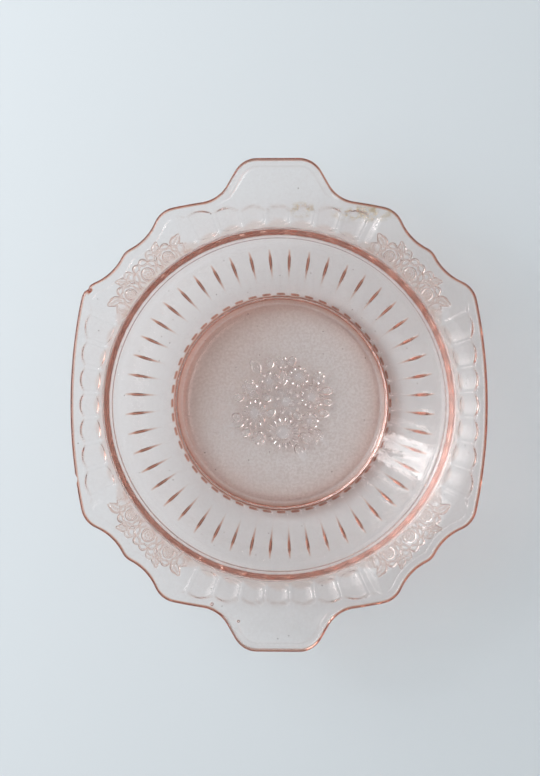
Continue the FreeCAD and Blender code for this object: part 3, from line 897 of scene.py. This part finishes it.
def noise(tree, place, scale, detail=3.0, roughness=0.5):
    """A noise value at an object-space scale, in waves per metre."""
    settings = {"Vector": place, "Scale": scale, "Detail": detail, "Roughness": roughness}
    return add(tree, "ShaderNodeTexNoise", settings).outputs["Fac"]


def spread(tree, value, low, high, to_low=0.0, to_high=1.0):
    """Maps low..high onto another range, and stops at its ends."""
    inputs = {"Value": value, "From Min": low, "From Max": high, "To Min": to_low, "To Max": to_high}
    return add(tree, "ShaderNodeMapRange", inputs).outputs["Result"]


def times(tree, a, b):
    """One value times another."""
    return add(tree, "ShaderNodeMath", {0: a, 1: b}, operation="MULTIPLY").outputs[0]


def plus(tree, a, b):
    """One value plus another."""
    return add(tree, "ShaderNodeMath", {0: a, 1: b}, operation="ADD").outputs[0]


def blended(tree, factor, a, b):
    """Colour a, turning into colour b with the factor."""
    node = add(tree, "ShaderNodeMix", data_type="RGBA")
    sockets = {"Factor": node.inputs[0], "A": node.inputs[6], "B": node.inputs[7]}
    for name, value in (("Factor", factor), ("A", a), ("B", b)):
        if isinstance(value, bpy.types.NodeSocket):
            tree.links.new(value, sockets[name])
        else:
            sockets[name].default_value = value
    return node.outputs[2]


def patch(tree, place, centre, size):
    """1 in the middle of a soft oval patch, 0 outside it. Sizes are in metres."""
    moved = add(tree, "ShaderNodeVectorMath", {0: place, 1: centre}, operation="SUBTRACT").outputs[0]
    scaled = add(tree, "ShaderNodeVectorMath", {0: moved, 1: size}, operation="DIVIDE").outputs[0]
    reach = add(tree, "ShaderNodeVectorMath", {0: scaled}, operation="LENGTH").outputs["Value"]
    return spread(tree, reach, 0.5, 1.0, 1.0, 0.0)


def glass_colour(tree, place, painted_shade):
    """Clean glass, faintly mottled, and darkened towards red-brown by the painted shade.

    The mottling is strongest on the base's ground between the flowers.
    """
    on_base = patch(tree, place, (0.0, 0.0, 0.003), (0.062, 0.062, 0.02))
    on_ground = times(tree, on_base, spread(tree, painted_shade, 0.0, BASE_DEPTH))
    strength = spread(tree, on_ground, 0.0, 1.0, 0.15, 0.85)
    grain = spread(tree, noise(tree, place, MOTTLE_SCALE, 3.0, 0.6), 0.40, 0.60)
    bare = blended(tree, times(tree, grain, strength), CLEAN_COLOUR, MOTTLE_COLOUR)
    # painted shade: the colour deepens by a power of the shade's depth, as light dies away on its way
    # through glass
    deep = add(tree, "ShaderNodeGamma", {"Color": PAINTED_SHADE_COLOUR, "Gamma": painted_shade}).outputs[0]
    return add(tree, "ShaderNodeVectorMath", {0: bare, 1: deep}, operation="MULTIPLY").outputs[0]


def specks(tree, place):
    """1 on a few small round specks of grit, one in about every fourth cell of a loose net."""
    cells = add(tree, "ShaderNodeTexVoronoi", {"Vector": place, "Scale": SPECK_SCALE})
    picked = add(tree, "ShaderNodeSeparateColor", {"Color": cells.outputs["Color"]}).outputs[0]
    near = spread(tree, cells.outputs["Distance"], 0.05, 0.09, 1.0, 0.0)
    return times(tree, near, spread(tree, picked, 0.72, 0.73))


def residue(tree, place):
    """1 where flecks of old residue stick near the upper handle."""
    found = [patch(tree, place, centre, size) for centre, size in STAINS]
    either = add(tree, "ShaderNodeMath", {0: found[0], 1: found[1]}, operation="MAXIMUM").outputs[0]
    flecks = spread(tree, noise(tree, place, STAIN_SCALE, 5.0, 0.65), 0.50, 0.58)
    return times(tree, either, flecks)


def glass_material():
    """Pink glass. Its colour comes from how far light travels through it, so edges are deeper than flats.

    On top of that come painted shade along the lines of the pressed pattern, a faint mottling, specks of
    grit and old residue.
    """
    material = bpy.data.materials.new("pink_pressed_glass")
    material.use_nodes = True
    tree = material.node_tree
    shader = tree.nodes["Principled BSDF"]
    shader.inputs["Transmission Weight"].default_value = 1.0
    shader.inputs["IOR"].default_value = GLASS_IOR
    inner = add(tree, "ShaderNodeVolumeAbsorption", {"Color": INNER_COLOUR, "Density": INNER_DENSITY})
    tree.links.new(inner.outputs["Volume"], tree.nodes["Material Output"].inputs["Volume"])

    place = add(tree, "ShaderNodeTexCoord").outputs["Object"]
    # the painted shade, read from the mesh
    painted_shade = add(tree, "ShaderNodeAttribute", attribute_name="painted_shade").outputs["Fac"]
    stain = residue(tree, place)
    colour = glass_colour(tree, place, painted_shade)
    colour = blended(tree, times(tree, specks(tree, place), SPECK_STRENGTH), colour, SPECK_COLOUR)
    colour = blended(tree, times(tree, stain, RESIDUE_STRENGTH), colour, RESIDUE_COLOUR)
    tree.links.new(colour, shader.inputs["Base Color"])

    smudge = spread(tree, noise(tree, place, SMUDGE_SCALE), 0.45, 0.7, *ROUGHNESS)
    rough = plus(tree, smudge, times(tree, stain, RESIDUE_ROUGHNESS))
    tree.links.new(rough, shader.inputs["Roughness"])

    slow = noise(tree, place, WAVE_SCALE)
    height = plus(tree, slow, times(tree, noise(tree, place, PIT_SCALE), PIT_SHARE))
    waves = {"Height": height, "Strength": WAVE_STRENGTH, "Distance": WAVE_HEIGHT}
    tree.links.new(add(tree, "ShaderNodeBump", waves).outputs["Normal"], shader.inputs["Normal"])
    return material


def floor_material():
    """A plain pale matt floor."""
    material = bpy.data.materials.new("pale_floor")
    material.use_nodes = True
    shader = material.node_tree.nodes["Principled BSDF"]
    shader.inputs["Base Color"].default_value = FLOOR_COLOUR
    shader.inputs["Roughness"].default_value = 0.9
    shader.inputs["Specular IOR Level"].default_value = 0.2
    return material


# -------------------------------------------------------------------------------- stage and camera

COOL_WHITE = (0.94, 0.975, 1.0)
ROOM_COLOUR = (0.93, 0.97, 1.0, 1)
ROOM_STRENGTH = 0.54
FLOOR_SIZE = 6.0

# places and widths in metres, power in watts
LIGHT_TARGET = (0, 0, 0.03)
DISC_WIDTHS = (0.5, 0.8, 1.1, 1.4, 1.7)
DISC_POWER_PER_AREA = 2.3
MIDDLE_LIGHT = {"location": (-0.79, 0.28, 0.70), "size": (0.2, 0.2), "power": 1.0, "shape": "DISK"}
LOW_LIGHT = {"location": (-1.05, 0.38, 0.10), "size": (0.24, 0.26), "power": 1.1}

# camera, in metres. It leans by these degrees towards +X and +Y, and its aim is shifted right and up.
CAMERA_DISTANCE = 0.75
VIEW_HEIGHT = 0.330
CAMERA_LEAN = (2.3, 1.0)
AIM_SHIFT = (-0.0034, 0.0074)


def make_floor():
    """The floor just under the foot ring."""
    bpy.ops.mesh.primitive_plane_add(size=FLOOR_SIZE, location=(0, 0, -FLOOR_GAP * MM))
    floor = bpy.context.object
    floor.name = "floor"
    floor.data.materials.append(floor_material())


def area_light(name, location, size, power, shape="RECTANGLE"):
    """A cool white area light turned towards the dish."""
    data = bpy.data.lights.new(name, "AREA")
    data.shape = shape
    data.size, data.size_y = size
    data.energy = power
    data.color = COOL_WHITE
    light = bpy.data.objects.new(name, data)
    light.location = location
    light.rotation_euler = (Vector(LIGHT_TARGET) - Vector(location)).to_track_quat("-Z", "Y").to_euler()
    bpy.context.collection.objects.link(light)


def make_lights():
    """An even pale room, one broad soft light high at the left, and a small low one beside it."""
    world = bpy.data.worlds.new("room")
    bpy.context.scene.world = world
    world.use_nodes = True
    background = world.node_tree.nodes["Background"]
    background.inputs["Color"].default_value = ROOM_COLOUR
    background.inputs["Strength"].default_value = ROOM_STRENGTH
    # discs of growing size, each a little further off, make one light that fades towards its edge
    for width in DISC_WIDTHS:
        place = (-0.80 - 0.01 * width, 0.28, 0.70)
        area_light(f"soft_light_{width}", place, (width, width), DISC_POWER_PER_AREA * width**2, "DISK")
    area_light("bright_middle", **MIDDLE_LIGHT)
    area_light("low_light", **LOW_LIGHT)


def make_camera():
    """Nearly straight down into the open dish, handles up and down the view."""
    centre = Vector((0, 0, (KNEE[1] + 0.6) * MM))
    lean_x, lean_y = (math.tan(math.radians(lean)) for lean in CAMERA_LEAN)
    direction = Vector((lean_x, lean_y, 1)).normalized()
    across = Vector((0, 1, 0)).cross(direction).normalized()
    upward = direction.cross(across)
    aim = centre + across * AIM_SHIFT[0] + upward * AIM_SHIFT[1]
    data = bpy.data.cameras.new("camera")
    data.sensor_width = 36.0
    data.lens = data.sensor_width * CAMERA_DISTANCE / VIEW_HEIGHT
    camera = bpy.data.objects.new("camera", data)
    facing = Matrix((across, upward, direction)).transposed().to_4x4()
    camera.matrix_world = Matrix.Translation(aim + direction * CAMERA_DISTANCE) @ facing
    bpy.context.collection.objects.link(camera)
    bpy.context.scene.camera = camera


scene = bpy.context.scene
scene.view_settings.view_transform = "Standard"
scene.cycles.blur_glossy = 0
scene.cycles.max_bounces = 32
scene.cycles.glossy_bounces = 32
scene.cycles.transmission_bounces = 32
make_camera()
make_floor()
make_lights()

dish = make_dish()
dish.data.materials.append(glass_material())
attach(dish, "root")
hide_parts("dish")
